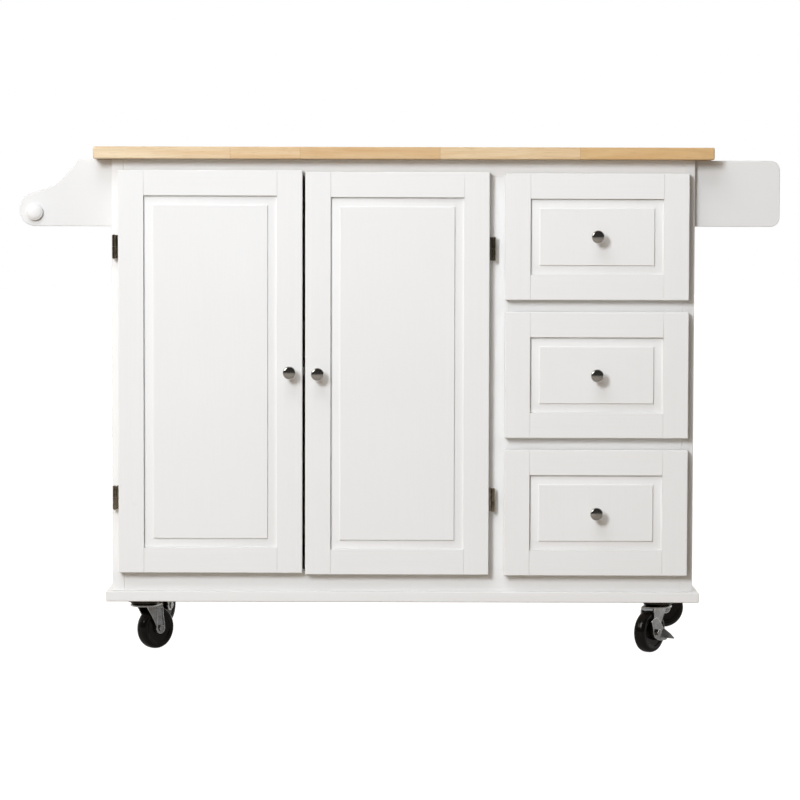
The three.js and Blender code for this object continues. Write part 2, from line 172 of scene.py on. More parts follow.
def worktop_material():
    """Oiled staves, each with its own tone and figure, with a fine glue line round each."""
    s = Shader("butcher_block", IOR=1.5, Coat_Weight=0.18, Coat_Roughness=0.25)
    seed = s.add("CombineXYZ", {0: s.attribute("stave_seed"), 1: s.attribute("stave_seed")})
    moved = s.add("VectorMath", {0: s.coords, 1: seed.outputs[0]}, operation="ADD").outputs[0]

    def grain_at(across, lengthways, detail, distortion=0.0):
        vector = s.add("Mapping", {"Vector": moved, "Scale": (lengthways, across, across)})
        inputs = {"Vector": vector.outputs[0], "Scale": 1.0, "Detail": detail,
                  "Distortion": distortion}
        return s.add("TexNoise", inputs).outputs["Fac"]

    figure = grain_at(60.0, 5.0, 4.0, 0.8)
    fibre = grain_at(620.0, 14.0, 3.0)
    pores = s.ramp(grain_at(900.0, 38.0, 1.0), 0.60, 0.72)
    knots = s.ramp(grain_at(26.0, 7.0, 2.0, 1.5), 0.63, 0.74)
    base = s.attribute("stave_tone", "Color")
    tint = s.mix(s.ramp(figure, 0.36, 0.66), base, (0.90, 0.80, 0.69), "MULTIPLY")
    tint = s.mix(s.ramp(fibre, 0.35, 0.7, 0.0, 0.30), tint, (0.55, 0.36, 0.17))
    tint = s.mix(s.times(pores, 0.30), tint, (0.36, 0.20, 0.08))
    tint = s.mix(s.times(knots, 0.22), tint, (0.45, 0.24, 0.09))
    split = [s.add("SeparateXYZ", {0: s.attribute(name, "Vector")}) for name in
             ("stave_near", "stave_far")]
    nearest = s.math(
        "MINIMUM",
        s.math("MINIMUM", split[0].outputs[0], split[0].outputs[1]),
        s.math("MINIMUM", split[1].outputs[0], split[1].outputs[1]),
    )
    line = s.ramp(nearest, 0.0001, 0.0005, 1.0, 0.0)
    tint = s.mix(s.times(line, 0.55), tint, (0.30, 0.17, 0.07))
    rub = s.times(s.attribute("edge"), s.ramp(s.noise(40.0, 3.0), 0.45, 0.7, 0.1, 0.4))
    tint = s.mix(rub, tint, (0.50, 0.33, 0.16))
    roughness = s.ramp(s.noise(16.0, 4.0), 0.3, 0.7, 0.34, 0.50)
    height = s.math("SUBTRACT", fibre, s.times(line, 0.8))
    return s.finish(tint, roughness, s.bump(height, 0.00008, 0.6))


def raw_wood_material(axis):
    """Pale lacquered birch of the drawer boxes, its grain along one axis."""
    s = Shader("birch_" + "xyz"[axis], IOR=1.45)
    figure = s.noise(1.0, 4.0, s.stretched(along(axis, 70.0, 6.0)))
    fibre = s.noise(1.0, 3.0, s.stretched(along(axis, 700.0, 18.0)))
    tint = s.mix(s.ramp(figure, 0.32, 0.7), (0.74, 0.60, 0.41), (0.64, 0.48, 0.30))
    tint = s.mix(s.ramp(fibre, 0.42, 0.75, 0.0, 0.4), tint, (0.50, 0.34, 0.19))
    rub = s.times(s.attribute("edge"), s.ramp(s.noise(50.0, 2.0), 0.4, 0.7, 0.1, 0.5))
    tint = s.mix(rub, tint, (0.80, 0.69, 0.52))
    roughness = s.ramp(fibre, 0.3, 0.7, 0.52, 0.66)
    return s.finish(tint, roughness, s.bump(fibre, 0.00007, 0.6))


def metal_material(name, light, dark, rim, rough_low, rough_high, spot, scratch, metallic=1.0):
    """A plated metal: blotches of two tones, edges lightened to a rim tone that is partly wear and
    partly a painted highlight, fine scratches and a roughness that wanders."""
    s = Shader(name, Metallic=metallic)
    blotch = s.noise(spot, 3.0)
    marks = s.ramp(s.noise(1.0, 2.0, s.stretched((900.0, 900.0, 120.0))), 0.58, 0.68)
    grime = s.ramp(s.noise(90.0, 3.0), 0.60, 0.78)
    tint = s.mix(s.ramp(blotch, 0.35, 0.65), light, dark)
    tint = s.mix(s.times(grime, 0.35), tint, tuple(0.55 * c for c in dark))
    # edge faces take the rim tone: partly wear, partly a painted highlight
    tint = s.mix(s.times(s.attribute("edge"), 0.85), tint, rim)
    roughness = s.ramp(blotch, 0.3, 0.7, rough_low, rough_high)
    roughness = s.math("ADD", roughness, s.times(marks, scratch))
    return s.finish(tint, roughness, s.bump(marks, 0.00002, 0.35))


def rubber_material(name, light, dark, rough_low, rough_high, shine=0.12):
    """Moulded rubber or plastic with dust in its fine texture."""
    s = Shader(name, IOR=1.48, Specular_IOR_Level=shine)
    dust = s.ramp(s.noise(120.0, 4.0), 0.45, 0.75)
    patch = s.noise(18.0, 2.0)
    tint = s.mix(s.ramp(patch, 0.3, 0.7), dark, light)
    tint = s.mix(s.times(dust, 0.22), tint, tuple(min(0.9, 2.0 * c) for c in light))
    roughness = s.ramp(patch, 0.3, 0.7, rough_low, rough_high)
    return s.finish(tint, roughness, s.bump(s.noise(1400.0, 2.0), 0.00004, 0.5))


PAINT = [paint_material(axis) for axis in range(3)]
# the white paint made darker for the towel arms and spice ends: painted shade for less light there
RACK_PAINT_WITH_PAINTED_SHADE = paint_material(X, "rack_paint_with_painted_shade", shade=0.925)
BIRCH = [raw_wood_material(axis) for axis in range(3)]
WORKTOP = worktop_material()
NICKEL = metal_material(
    "nickel", (0.62, 0.60, 0.56), (0.52, 0.50, 0.46), (0.72, 0.70, 0.66), 0.10, 0.17, 70.0, 0.10,
)
# its near-white rim tone is a painted highlight along the fork's edges
ZINC = metal_material(
    "zinc", (0.46, 0.49, 0.52), (0.33, 0.325, 0.31), (0.96, 0.94, 0.90), 0.14, 0.24, 80.0, 0.08,
)
# nickel darkened to stand in for the dark surroundings it reflects: painted shade, with a paler rim
HINGE_METAL_PAINTED_SHADE = metal_material(
    "hinge_nickel_painted_shade", (0.36, 0.31, 0.24), (0.17, 0.145, 0.11), (0.60, 0.53, 0.42),
    0.12, 0.20, 160.0, 0.08,
)
# a paler, half-metallic nickel for the hinge pins: a painted highlight on their heads
PIN_METAL_PAINTED_HIGHLIGHT = metal_material(
    "pin_nickel_painted_highlight", (0.86, 0.82, 0.74), (0.74, 0.70, 0.62), (0.95, 0.92, 0.86),
    0.16, 0.26, 160.0, 0.10, 0.5,
)
# zinc darkened for the caster mounts under the cabinet: painted shade
ZINC_PAINTED_SHADE = metal_material(
    "zinc_painted_shade", (0.060, 0.055, 0.045), (0.035, 0.032, 0.026), (0.30, 0.27, 0.20),
    0.24, 0.36, 60.0, 0.10,
)
DULL_ZINC = metal_material(
    "runner_zinc", (0.56, 0.57, 0.58), (0.44, 0.45, 0.46), (0.62, 0.63, 0.64), 0.3, 0.45, 60.0, 0.1,
)
RUBBER = rubber_material(
    "wheel_rubber", (0.0055, 0.0045, 0.0038), (0.003, 0.0025, 0.002), 0.10, 0.18, 0.28,
)
CATCH = rubber_material("catch_plastic", (0.62, 0.61, 0.58), (0.56, 0.55, 0.52), 0.35, 0.5)
PLASTIC = rubber_material(
    "hub_plastic", (0.008, 0.007, 0.006), (0.004, 0.0035, 0.003), 0.10, 0.18, 0.28,
)


# ------ mesh building
# edges bent by more than this angle, in radians, are rounded
BEVEL_ANGLE = 0.6


def place(axis, u, v, w):
    """A point drawn at (u, v), w along the axis. Seen along x: u is y, v is z."""
    return ((w, u, v), (u, w, v), (u, v, w))[axis]


def mesh_bm():
    bm = bmesh.new()
    bm.faces.layers.float.new("edge")
    return bm


def mark_edges(bm, faces):
    """Tells the materials that these faces are edges, which wear first and, on metals, carry a
    painted highlight.
    """
    layer = bm.faces.layers.float["edge"]
    for face in faces:
        face[layer] = 1.0


def wall(bm, ring_a, ring_b):
    n = len(ring_a)
    for k in range(n):
        bm.faces.new((ring_a[k], ring_a[(k + 1) % n], ring_b[(k + 1) % n], ring_b[k]))


def loft(rings):
    """A closed body through rings of points."""
    bm = mesh_bm()
    rings = [[bm.verts.new(point) for point in ring] for ring in rings]
    for a, b in zip(rings, rings[1:]):
        wall(bm, a, b)
    bm.faces.new(rings[0])
    bm.faces.new(rings[-1])
    return bm


def area(points):
    return sum(p[0] * q[1] - q[0] * p[1] for p, q in zip(points, points[1:] + points[:1])) / 2


def inset_loop(points, inset):
    """The outline moved in by inset, corner by corner along each mitre."""
    out = []
    for i, p in enumerate(points):
        before, after = Vector(points[i - 1]), Vector(points[(i + 1) % len(points)])
        here = Vector(p)
        d0, d1 = (here - before).normalized(), (after - here).normalized()
        n0, n1 = Vector((-d0.y, d0.x)), Vector((-d1.y, d1.x))
        mitre = n0 + n1
        mitre = n0 if mitre.length < TINY else mitre * 2 / mitre.length_squared
        out.append(tuple(here + mitre * inset))
    return out


def prism(outline, w0, w1, axis, edge=0.0, steps=3, holes=(), bm=None):
    """An outline carried along an axis, its two ends rounded by edge, with straight holes."""
    bm = bm or mesh_bm()
    outline = outline if area(outline) > 0 else outline[::-1]
    levels = []
    for k in range(steps + 1 if edge else 1):
        t = math.pi / 2 * k / steps
        levels.append((edge * (1 - math.sin(t)), edge * (1 - math.cos(t))))
    path = [(inset, w0 + d) for inset, d in levels]
    path += [(inset, w1 - d) for inset, d in reversed(levels)]
    rings = []
    for inset, w in path:
        loop = inset_loop(outline, inset) if inset else outline
        rings.append([bm.verts.new(place(axis, u, v, w)) for u, v in loop])
    for i, (a, b) in enumerate(zip(rings, rings[1:])):
        before = len(bm.faces)
        wall(bm, a, b)
        bm.faces.ensure_lookup_table()
        if edge and i != len(rings) // 2 - 1:
            mark_edges(bm, bm.faces[before:])
    sides = []
    for hole in holes:
        ends = [[bm.verts.new(place(axis, u, v, w)) for u, v in hole] for w in (w0, w1)]
        wall(bm, ends[0], ends[1])
        sides.append(ends)
    for end, ring in ((0, rings[0]), (1, rings[-1])):
        loops = [ring] + [ends[end] for ends in sides]
        if holes:
            verts = [v for loop in loops for v in loop]
            flat = [[Vector(v.co) for v in loop] for loop in loops]
            for tri in tessellate_polygon(flat):
                bm.faces.new([verts[i] for i in tri])
        else:
            bm.faces.new(ring)
    return bm


def lathe(profile, centre, axis, segments=32, closed=False, bm=None):
    """A profile of (radius, height) pairs turned round an axis through centre."""
    bm = bm or mesh_bm()
    origin = Vector(centre)
    rows = []
    for r, h in profile:
        if r < TINY:
            rows.append([bm.verts.new(origin + Vector(place(axis, 0, 0, h)))])
            continue
        angles = [TAU * k / segments for k in range(segments)]
        points = [place(axis, r * math.cos(a), r * math.sin(a), h) for a in angles]
        rows.append([bm.verts.new(origin + Vector(point)) for point in points])
    for a, b in zip(rows, rows[1:] + (rows[:1] if closed else [])):
        for k in range(segments):
            j = (k + 1) % segments
            if len(a) == 1:
                bm.faces.new((a[0], b[k], b[j]))
            elif len(b) == 1:
                bm.faces.new((a[k], a[j], b[0]))
            else:
                bm.faces.new((a[k], a[j], b[j], b[k]))
    return bm


def cuboid(lo, hi, bm=None):
    bm = bm or mesh_bm()
    return prism(rectangle(lo[X], lo[Y], hi[X], hi[Y]), lo[Z], hi[Z], Z, bm=bm)


def soften(bm, width, segments=2, where=None):
    """Rounds the sharp edges, or those of them whose middle point passes a test."""
    bmesh.ops.recalc_face_normals(bm, faces=bm.faces)
    bm.normal_update()
    picked = []
    for e in bm.edges:
        if len(e.link_faces) == 2 and e.calc_face_angle() > BEVEL_ANGLE:
            if where is None or where((e.verts[0].co + e.verts[1].co) / 2):
                picked.append(e)
    made = bmesh.ops.bevel(
        bm, geom=picked, offset=width, segments=segments, profile=0.5, affect="EDGES",
        clamp_overlap=True,
    )
    mark_edges(bm, made["faces"])
    return bm


def curve(p0, p1, p2, p3, steps=10):
    """Points on a cubic curve, without its first one."""
    points = []
    for k in range(1, steps + 1):
        t = k / steps
        s = 1 - t
        weights = (s ** 3, 3 * s * s * t, 3 * s * t * t, t ** 3)
        points.append(tuple(sum(w * p[i] for w, p in zip(weights, (p0, p1, p2, p3)))
                            for i in range(2)))
    return points


def arc(cx, cy, r, start, end, steps=8):
    """Points on a circular arc between two angles in degrees."""
    angles = [math.radians(start + (end - start) * k / steps) for k in range(steps + 1)]
    return [(cx + r * math.cos(a), cy + r * math.sin(a)) for a in angles]


def circle(cx, cy, r, segments=24):
    return arc(cx, cy, r, 0, 360, segments)[:-1]


def rectangle(u0, v0, u1, v1):
    return [(u0, v0), (u1, v0), (u1, v1), (u0, v1)]


def filleted(points, radius, steps=5):
    """The outline with its corners rounded, never by more than the edges beside them allow."""
    out = []
    for i, p in enumerate(points):
        here = Vector(p)
        before, after = Vector(points[i - 1]), Vector(points[(i + 1) % len(points)])
        a = here + (before - here).normalized() * min(radius, (before - here).length * 0.45)
        b = here + (after - here).normalized() * min(radius, (after - here).length * 0.45)
        for k in range(steps + 1):
            t = k / steps
            out.append(tuple(a * (1 - t) ** 2 + here * 2 * t * (1 - t) + b * t * t))
    return out


def front_centre(lo, hi, y):
    """The point at y in the middle of a box as it is seen from the front."""
    return ((lo.x + hi.x) / 2, y, (lo.z + hi.z) / 2)


def link(name, data):
    obj = bpy.data.objects.new(name, data)
    bpy.context.scene.collection.objects.link(obj)
    return obj


def piece(name, bm, material, body, nodes=(), matrix=None, sharp=33):
    """Turns a built mesh into a shown piece that rides on a body."""
    if matrix is not None:
        bmesh.ops.transform(bm, matrix=matrix, verts=bm.verts)
    bmesh.ops.recalc_face_normals(bm, faces=bm.faces)
    mesh = bpy.data.meshes.new(name)
    bm.to_mesh(mesh)
    bm.free()
    mesh.materials.append(material)
    mesh.shade_smooth()
    mesh.set_sharp_from_angle(angle=math.radians(sharp))
    obj = link(name, mesh)
    normals = obj.modifiers.new("flat_normals", "WEIGHTED_NORMAL")
    normals.keep_sharp = True
    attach(obj, body)
    if nodes:
        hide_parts(*nodes)
    return obj


# ------ worktop
STAVE_ROWS = 12
STAVE_SEED = 11
STAVE_LENGTHS = (0.14, 0.33)
FIRST_STAVE = (0.07, 0.30)
END_CLEAR = 0.07
PALE_STAVE, DEEP_STAVE = (0.81, 0.66, 0.44), (0.66, 0.44, 0.22)
WORKTOP_ROUND = 2.4 * MM
JOINT_GRID = 0.005
# the row along the front edge: where its staves meet, from the left end, and their tones
FRONT_JOINTS = (0.245, 0.370, 0.620, 0.870)
FRONT_TONES = (
    (0.815, 0.665, 0.455), (0.775, 0.590, 0.370), (0.700, 0.495, 0.275),
    (0.775, 0.610, 0.390), (0.725, 0.510, 0.260),
)


def stave_plan(length):
    """For each row of staves, the joints' distances from the left end and the staves' tones."""
    rng = random.Random(STAVE_SEED)
    rows = [(list(FRONT_JOINTS), list(FRONT_TONES))]
    for _ in range(STAVE_ROWS - 1):
        joints, at = [], rng.uniform(*FIRST_STAVE)
        while at < length - END_CLEAR:
            joints.append(round(at / JOINT_GRID) * JOINT_GRID)
            at += rng.uniform(*STAVE_LENGTHS)
        tones = []
        for _ in range(len(joints) + 1):
            depth = rng.random()
            tones.append(tuple(p + (d - p) * depth for p, d in zip(PALE_STAVE, DEEP_STAVE)))
        rows.append((joints, tones))
    return rows


def build_worktop():
    """One block with a face for each stave, which carries its tone and where it ends."""
    lo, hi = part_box("worktop")
    plan = stave_plan(hi.x - lo.x)
    cuts = sorted({round(j, 4) for joints, _ in plan for j in joints})
    xs = [lo.x] + [lo.x + c for c in cuts] + [hi.x]
    ys = [lo.y + (hi.y - lo.y) * k / STAVE_ROWS for k in range(STAVE_ROWS + 1)]
    bm = mesh_bm()
    grid = [[[bm.verts.new((x, y, z)) for y in ys] for x in xs] for z in (lo.z, hi.z)]
    nx, ny = len(xs), len(ys)
    for level in grid:
        for i in range(nx - 1):
            for j in range(ny - 1):
                bm.faces.new((level[i][j], level[i + 1][j], level[i + 1][j + 1], level[i][j + 1]))
    low, high = grid
    for j in (0, ny - 1):
        for i in range(nx - 1):
            bm.faces.new((low[i][j], low[i + 1][j], high[i + 1][j], high[i][j]))
    for i in (0, nx - 1):
        for j in range(ny - 1):
            bm.faces.new((low[i][j], low[i][j + 1], high[i][j + 1], high[i][j]))
    soften(bm, WORKTOP_ROUND, 4)
    obj = piece("worktop_block", bm, WORKTOP, "cabinet", ["worktop"])
    mesh = obj.data
    layers = (("stave_tone", "FLOAT_COLOR"), ("stave_seed", "FLOAT"),
              ("stave_near", "FLOAT_VECTOR"), ("stave_far", "FLOAT_VECTOR"))
    for name, kind in layers:
        mesh.attributes.new(name, kind, "CORNER")
    tone, seed, near_edge, far_edge = (mesh.attributes[name].data for name, _ in layers)
    outside = 1.0
    for face in mesh.polygons:
        x, y, _ = face.center
        row = min(STAVE_ROWS - 1, max(0, int((y - lo.y) / (hi.y - lo.y) * STAVE_ROWS)))
        joints, tones = plan[row]
        n = sum(x - lo.x > j for j in joints)
        x0 = lo.x + joints[n - 1] if n else -outside
        x1 = lo.x + joints[n] if n < len(joints) else outside
        y0 = ys[row] if row else -outside
        y1 = ys[row + 1] if row < STAVE_ROWS - 1 else outside
        for k in face.loop_indices:
            p = mesh.vertices[mesh.loops[k].vertex_index].co
            tone[k].color = (*tones[n], 1.0)
            seed[k].value = row * 1.37 + n * 3.11
            near_edge[k].vector = (p.x - x0, p.y - y0, 0.0)
            far_edge[k].vector = (x1 - p.x, y1 - p.y, 0.0)


# ------ carcass boards
# node: the new piece's name, the axis of its grain, the rounding of its edges in mm
BOARDS = {
    "left_side_panel": ("left_side_board", Z, 1.0),
    "right_side_panel": ("right_side_board", Z, 1.0),
    "back_panel": ("back_board", Z, 0.4),
    "floor_panel": ("floor_board", X, 0.5),
    "base_plinth": ("plinth_board", X, 2.0),
    "divider_panel": ("divider_board", Z, 0.5),
    "face_top_rail": ("face_rail_top", X, 0.35),
    "face_bottom_rail": ("face_rail_bottom", X, 0.35),
    "face_centre_stile": ("face_stile_centre", Z, 0.35),
    "face_drawer_rail_lower": ("face_rail_drawers_lower", X, 0.8),
    "face_drawer_rail_upper": ("face_rail_drawers_upper", X, 0.8),
    "adjustable_shelf": ("shelf_board", X, 1.5),
    "spice_shelf": ("spice_shelf_board", Y, 1.2),
    "spice_rail": ("spice_rail_board", Y, 1.2),
}
# each board is drawn this much larger all round, so its rounded edges leave only a hair line
SEAM = 0.13 * MM
SHELF_PIN = ((0, 0.3), (3.4, 0.3), (3.4, 1.4), (2.4, 2.0), (2.4, 8.6), (1.9, 9.0), (0, 9.0))
PIN_INSET = 45 * MM
PIN_DROP = 3.7 * MM


def build_boards():
    for node, (name, axis, edge) in BOARDS.items():
        lo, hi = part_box(node)
        grow = Vector((1, 1, 1)) * SEAM
        bm = soften(cuboid(lo - grow, hi + grow), edge * MM, 3)
        piece(name, bm, PAINT[axis], "cabinet", [node])


def build_shelf_pins():
    """Four spoon pins under the adjustable shelf, in the side panel and the divider."""
    lo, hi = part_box("adjustable_shelf")
    bm = mesh_bm()
    for side, x in ((1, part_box("left_side_panel")[1].x), (-1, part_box("divider_panel")[0].x)):
        for y in (lo.y + PIN_INSET, hi.y - PIN_INSET):
            turned = [(r * MM, side * h * MM) for r, h in SHELF_PIN]
            lathe(turned, (x, y, lo.z - PIN_DROP), X, 16, bm=bm)
    piece("shelf_pins", bm, DULL_ZINC, "cabinet")


# ------ doors and drawer fronts
STILE_W = 45.5 * MM
OUTER_ROUND = 1.7 * MM
INNER_ROUND = 0.5 * MM
TOUCH = 0.01 * MM
JOINT = 0.24 * MM
SLOT_REACH = 8 * MM
SLOT_DEPTHS = (6.6 * MM, 12.6 * MM)
# the panel's section, from its opening inwards: inset and depth behind the frame's face
PANEL_SECTION = (
    (-7.0, 12.3), (-7.0, 6.9), (0.4, 6.9), (0.6, 6.6), (3.5, 5.6), (7.0, 4.8), (11.0, 4.2),
    (14.5, 3.8), (16.9, 3.65), (17.0, 2.2), (17.2, 1.5), (17.6, 1.1), (18.2, 1.0),
)


def member_section(outer, inner, face, back):
    """A stile's or rail's section, with the slot for the panel in its inner edge."""
    way = 1 if inner > outer else -1
    slot = inner - way * SLOT_REACH
    y0, y1 = (face + depth for depth in SLOT_DEPTHS)
    return [(outer, face), (inner, face), (inner, y0), (slot, y0), (slot, y1), (inner, y1),
            (inner, back), (outer, back)]


def near(value, *targets):
    return any(abs(value - t) < TOUCH for t in targets)


def build_framed_front(prefix, lo, hi, body, nodes):
    """Two stiles, two rails and a raised panel in the box between lo and hi."""
    face, back = lo.y, hi.y

    def on_rim(p):
        on_front = near(p.y, face)
        sides = near(p.x, lo.x, hi.x), near(p.z, lo.z, hi.z)
        return (on_front and any(sides)) or all(sides)

    def finish(name, bm, axis, test):
        soften(bm, OUTER_ROUND, 4, on_rim)
        soften(bm, INNER_ROUND, 2, test)
        piece(f"{prefix}_{name}", bm, PAINT[axis], body, nodes)

    for side, outer, inner in (
        ("left", lo.x, lo.x + STILE_W - JOINT / 2), ("right", hi.x, hi.x - STILE_W + JOINT / 2),
    ):
        bm = prism(member_section(outer, inner, face, back), lo.z, hi.z, Z)
        finish(f"stile_{side}", bm, Z, lambda p, i=inner: near(p.y, face) and near(p.x, i))
    x0, x1 = lo.x + STILE_W + JOINT / 2, hi.x - STILE_W - JOINT / 2
    for side, outer, inner in (
        ("bottom", lo.z, lo.z + STILE_W), ("top", hi.z, hi.z - STILE_W),
    ):
        section = [(y, z) for z, y in member_section(outer, inner, face, back)]
        bm = prism(section, x0, x1, X)
        finish(
            f"rail_{side}", bm, X,
            lambda p, i=inner: near(p.y, face) and (near(p.z, i) or near(p.x, x0, x1)),
        )
    rings = []
    for inset, depth in PANEL_SECTION:
        i, y = STILE_W + inset * MM, face + depth * MM
        corners = rectangle(lo.x + i, lo.z + i, hi.x - i, hi.z - i)
        rings.append([(x, y, z) for x, z in corners])
    piece(f"{prefix}_raised_panel", loft(rings), PAINT[Z], body, nodes, sharp=24)


# a knob's radius and height, from the flat base that stands this far off the front
KNOB_BASE = 0.3
KNOB_PROFILE = (
    (0.0, 0.3), (7.0, 0.3), (7.2, 0.6), (7.2, 1.5), (6.9, 1.9), (5.6, 2.5), (4.7, 3.4), (4.3, 4.8),
    (4.2, 8.0), (4.25, 12.0), (4.6, 14.6), (5.6, 16.8), (7.6, 18.8), (9.8, 20.3), (11.2, 21.8),
    (11.7, 23.0), (11.8, 24.0), (11.65, 25.2), (11.2, 26.2), (10.4, 27.1), (9.2, 27.85),
    (7.4, 28.35), (5.2, 28.7), (2.6, 28.93), (0.0, 29.0),
)


def build_knob(name, node, body):
    lo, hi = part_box(node)
    profile = [(r * MM, -(h - KNOB_BASE) * MM) for r, h in KNOB_PROFILE]
    bm = lathe(profile, front_centre(lo, hi, hi.y), Y, 48)
    piece(name, bm, NICKEL, body, [node])


# ------ hinges
HINGE_HALF = 21 * MM
KNUCKLE_R = 3.3 * MM
KNUCKLE_GAP = 0.15 * MM
PIN_R = 1.6 * MM
PIN_HEAD = 2.0
PIN_PROFILE = ((0.0, PIN_HEAD), (1.0, 1.9), (1.8, 1.4), (2.2, 0.8), (2.2, 0.35), (1.5, 0.3))
LEAF_T = 0.9 * MM
# above its knuckle, the frame leaf's web starts this much further back
WEB_SETBACK = 1.5 * MM
# how far from the pin each leaf's web stands and its plate reaches
FRAME_LEAF = (3.7 * MM, 16 * MM)
DOOR_LEAF = (6.4 * MM, 27 * MM)
# how far in front of the frame leaf's back the door leaf's plate starts
DOOR_PLATE_OFFSET = 2.1 * MM
SCREW_R = 2.7 * MM
SCREW_GAP = 0.15 * MM
SCREW_DEPTH = 0.9
SCREW_SPOTS = ((1, 14), (-1, 0), (1, -14))
SCREW_PROFILE = (
    (0, 0.55), (0.5, 0.35), (1.1, 0.12), (1.3, 0.06), (SCREW_R / MM - 0.3, 0.0),
    (SCREW_R / MM, 0.12), (1.7, SCREW_DEPTH), (0, SCREW_DEPTH),
)


def rolled_section(px, py, side, far):
    """A strap's end rolled round the pin. The strap leaves the roll along its back."""
    a, b = KNUCKLE_R - LEAF_T, KNUCKLE_R
    start = math.degrees(math.asin(a / KNUCKLE_R))
    rim = [(px + side * (x - px), y) for x, y in arc(px, py, KNUCKLE_R, start, -270, 28)]
    return [(px + side * far, py + a), *rim, (px + side * far, py + b)]


def build_hinge_leaf(name, node, body, pin, side, plate_y, web, reach, knuckle, heads):
    """A plate with its screws, the web beside the door's edge, and the strap and knuckle.
    web and reach are the web's and the plate's distances from the pin; knuckle holds the
    ends of the strap and heads says which way the screws' heads face."""
    px, py, pz = pin
    y0, y1 = plate_y, plate_y + LEAF_T
    x0, x1 = sorted((px + side * (web + LEAF_T), px + side * reach))
    plate = rectangle(x0, pz - HINGE_HALF, x1, pz + HINGE_HALF)
    middle = px + side * (web + reach) / 2
    spots = [(middle + side * dx * MM, pz + dz * MM) for dx, dz in SCREW_SPOTS]
    holes = [circle(x, z, SCREW_R + SCREW_GAP, 20) for x, z in spots]
    bm = prism(plate, y0, y1, Y, holes=holes)
    front = py + KNUCKLE_R - LEAF_T
    w0, w1 = sorted((px + side * web, px + side * (web + LEAF_T)))
    low, high = knuckle
    rest = (-HINGE_HALF, low) if heads > 0 else (high, HINGE_HALF)
    # the web and strap are marked as edges so they take the light rim tone: a painted reflection on
    # a leaf otherwise in painted shade
    made = len(bm.faces)
    cuboid((w0, front, pz + low), (w1, y1, pz + high), bm)
    behind = front if heads > 0 else front + WEB_SETBACK
    cuboid((w0, behind, pz + rest[0]), (w1, y1, pz + rest[1]), bm)
    bm.faces.ensure_lookup_table()
    mark_edges(bm, bm.faces[made:])
    bore = circle(px, py, PIN_R + KNUCKLE_GAP, 20)
    prism(rolled_section(px, py, side, web), pz + low, pz + high, Z, holes=[bore], bm=bm)
    piece(name, bm, HINGE_METAL_PAINTED_SHADE, body, [node])
    bm = mesh_bm()
    seen, hidden = (y0, y1) if heads < 0 else (y1, y0)
    inward = hidden - seen
    for x, z in spots:
        turned = [(r * MM, h / SCREW_DEPTH * inward) for r, h in SCREW_PROFILE]
        lathe(turned, (x, seen, z), Y, 20, bm=bm)
    piece(name + "_screws", bm, NICKEL, body)


def build_hinges(door, side):
    for level in ("upper", "lower"):
        hinge = f"{door}_{level}_hinge"
        lo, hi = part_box(f"{hinge}_frame_leaf")
        px = lo.x + KNUCKLE_R if side > 0 else hi.x - KNUCKLE_R
        pin = (px, lo.y + KNUCKLE_R, lo.z + HINGE_HALF + PIN_HEAD * MM)
        build_hinge_leaf(
            f"{hinge}_fixed", f"{hinge}_frame_leaf", "cabinet", pin, side,
            hi.y - LEAF_T, *FRAME_LEAF, (-HINGE_HALF, -KNUCKLE_GAP), -1,
        )
        build_hinge_leaf(
            f"{hinge}_moving", f"{hinge}_door_leaf", f"{door}_door", pin, side,
            hi.y - DOOR_PLATE_OFFSET, *DOOR_LEAF, (KNUCKLE_GAP, HINGE_HALF), 1,
        )
        top = [(r * MM, HINGE_HALF + h * MM) for r, h in PIN_PROFILE]
        bottom = [(r, -h) for r, h in reversed(top)]
        bm = lathe(top + bottom, pin, Z, 24)
        # the pin in the paler nickel: a painted highlight
        piece(f"{hinge}_pin", bm, PIN_METAL_PAINTED_HIGHLIGHT, "cabinet")


def build_doors():
    for door, side in (("left", 1), ("right", -1)):
        lo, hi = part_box(f"{door}_door_frame")
        body = f"{door}_door"
        nodes = [f"{door}_door_frame", f"{door}_door_panel"]
        build_framed_front(f"{door}_door", lo, hi, body, nodes)
        build_knob(f"{door}_door_pull", f"{door}_door_knob", body)
        build_hinges(door, side)


# how far a catch's two ends lie from its door's free edge, along the door
CATCH_SPAN = (9 * MM, 37 * MM)
CATCH_H, CATCH_DEPTH, CATCH_GAP = 13 * MM, 15 * MM, 0.4 * MM
STRIKE_Y = (0.1 * MM, 0.9 * MM)
STRIKE_INSET = Vector((5, 0, 3)) * MM


def build_catches():
    """A magnetic catch under the top rail for each door, and its strike plate on the door."""
    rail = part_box("face_top_rail")[0]
    for door, way in (("left", -1), ("right", 1)):
        lo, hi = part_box(f"{door}_door_frame")
        edge = hi.x if door == "left" else lo.x
        x0, x1 = sorted(edge + way * distance for distance in CATCH_SPAN)
        top = rail.z - CATCH_GAP
        bm = cuboid((x0, rail.y, top - CATCH_H), (x1, rail.y + CATCH_DEPTH, top))
        piece(f"{door}_door_catch", soften(bm, 0.8 * MM, 3), CATCH, "cabinet")
        a = Vector((x0, hi.y + STRIKE_Y[0], top - CATCH_H)) + STRIKE_INSET
        b = Vector((x1, hi.y + STRIKE_Y[1], top)) - STRIKE_INSET
        bm = soften(cuboid(a, b), 0.25 * MM, 2)
        piece(f"{door}_door_strike", bm, DULL_ZINC, f"{door}_door")


